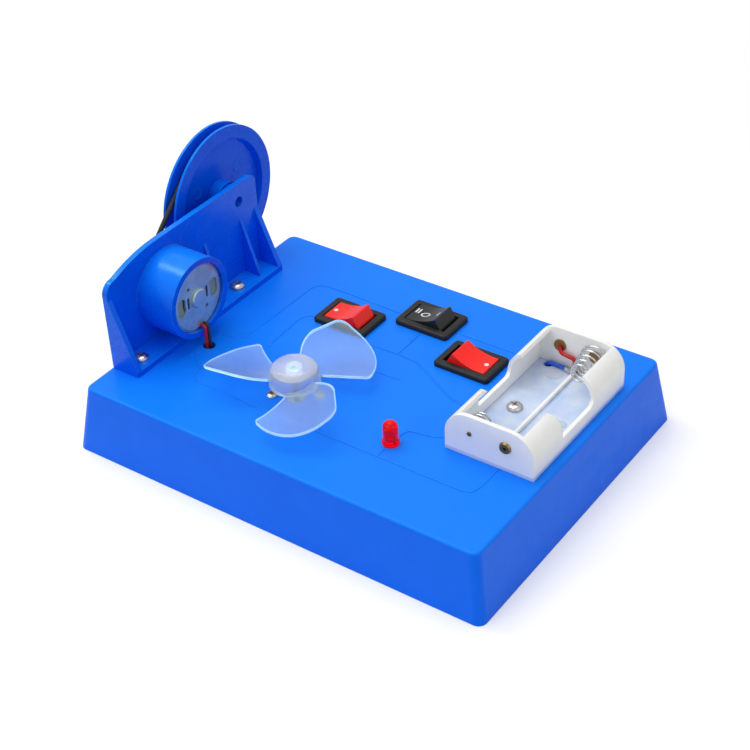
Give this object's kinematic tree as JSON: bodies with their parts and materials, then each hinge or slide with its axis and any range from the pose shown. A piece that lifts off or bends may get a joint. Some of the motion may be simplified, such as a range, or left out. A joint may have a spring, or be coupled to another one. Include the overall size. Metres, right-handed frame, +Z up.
{
  "type": "demonstration electric motor",
  "caption": "Classroom motor model: a flat motor turns a big belt pulley beside a hollow base that carries a fan, rocker switches, a lamp and an open holder for two cells.",
  "frame": {"origin": "centre of the base's foot, in the plane that it stands on", "axes": "+X along the base towards the cell holder, +Y to the back, +Z up"},
  "size_m": [0.1698, 0.12, 0.0802],
  "materials": {
    "base_plastic": "glossy azure blue moulding",
    "bracket_plastic": "glossy azure blue moulding",
    "pulley_plastic": "glossy azure blue moulding",
    "belt_rubber": "black rubber",
    "motor_steel": "zinc-plated drawn steel",
    "shaft_steel": "ground steel",
    "screw_steel": "bright plated steel",
    "brush_card_plastic": "dark moulded card",
    "ferrite": "sintered ferrite ring",
    "core_steel": "laminated steel",
    "fan_plastic": "milky translucent moulding",
    "switch_plastic": "black nylon",
    "rocker_red": "bright red",
    "rocker_black": "black",
    "tag_brass": "tinned brass tags",
    "lamp_red": "clear red epoxy lens",
    "leg_steel": "tinned steel wire",
    "holder_plastic": "white moulding, slightly translucent",
    "rivet_brass": "brass, a little tarnished",
    "spring_steel": "nickel-plated spring wire",
    "lead_red": "soft insulation",
    "lead_black": "soft insulation",
    "lead_blue": "soft insulation"
  },
  "bodies": {
    "base": {"base_shell": "base_plastic", "motor_bracket": "bracket_plastic", "bracket_screws": "screw_steel", "pulley_washer": "screw_steel", "pulley_screw": "screw_steel", "drive_belt": "belt_rubber", "fan_motor_screws": "screw_steel", "lamp": "lamp_red", "lamp_legs": "leg_steel", "battery_holder": "holder_plastic", "contact_strap": "spring_steel", "holder_rivets": "rivet_brass", "holder_springs": "spring_steel", "holder_screw": "screw_steel", "drive_lead_red": "lead_red", "drive_lead_black": "lead_black", "fan_lead_red": "lead_red", "fan_lead_black": "lead_black", "lamp_lead_red": "lead_red", "lamp_lead_black": "lead_black", "holder_lead_red": "lead_red", "holder_lead_blue": "lead_blue", "drive_motor_can": "motor_steel", "drive_motor_end_plate": "motor_steel", "drive_motor_brush_card": "brush_card_plastic", "drive_motor_magnet": "ferrite", "fan_motor_can": "motor_steel", "fan_motor_end_plate": "motor_steel", "fan_motor_brush_card": "brush_card_plastic", "fan_motor_magnet": "ferrite", "left_switch_housing": "switch_plastic", "left_switch_terminals": "tag_brass", "middle_switch_housing": "switch_plastic", "middle_switch_terminals": "tag_brass", "right_switch_housing": "switch_plastic", "right_switch_terminals": "tag_brass"},
    "big_pulley": {"big_pulley": "pulley_plastic"},
    "drive_rotor": {"drive_motor_shaft": "shaft_steel", "drive_motor_armature": "core_steel", "drive_pulley": "pulley_plastic"},
    "fan_rotor": {"fan_motor_shaft": "shaft_steel", "fan_motor_armature": "core_steel", "fan": "fan_plastic"},
    "left_rocker": {"left_switch_rocker": "rocker_red"},
    "middle_rocker": {"middle_switch_rocker": "rocker_black"},
    "right_rocker": {"right_switch_rocker": "rocker_red"}
  },
  "joints": [
    {"name": "big_pulley_spin", "type": "hinge", "parent": "base", "child": "big_pulley", "pos_m": [-0.08275, 0.0256, 0.0542], "axis": [-1, 0, 0], "continuous": true},
    {"name": "drive_shaft_spin", "type": "hinge", "parent": "base", "child": "drive_rotor", "pos_m": [-0.08275, -0.0155, 0.0423], "axis": [-1, 0, 0], "continuous": true},
    {"name": "fan_spin", "type": "hinge", "parent": "base", "child": "fan_rotor", "pos_m": [-0.014, -0.023, 0.033], "axis": [0, 0, 1], "continuous": true},
    {"name": "left_rocker_tilt", "type": "hinge", "parent": "base", "child": "left_rocker", "pos_m": [-0.0247, 0.022, 0.0218], "axis": [0, 1, 0], "range_deg": [0, 30]},
    {"name": "middle_rocker_tilt", "type": "hinge", "parent": "base", "child": "middle_rocker", "pos_m": [0, 0.0356, 0.0218], "axis": [0, 1, 0], "range_deg": [0, 30]},
    {"name": "right_rocker_tilt", "type": "hinge", "parent": "base", "child": "right_rocker", "pos_m": [0.0247, 0.022, 0.0218], "axis": [0, -1, 0], "range_deg": [0, 30]}
  ],
  "couplings": [
    {"joint": "drive_shaft_spin", "follows": "big_pulley_spin", "ratio": 8.3962}
  ]
}
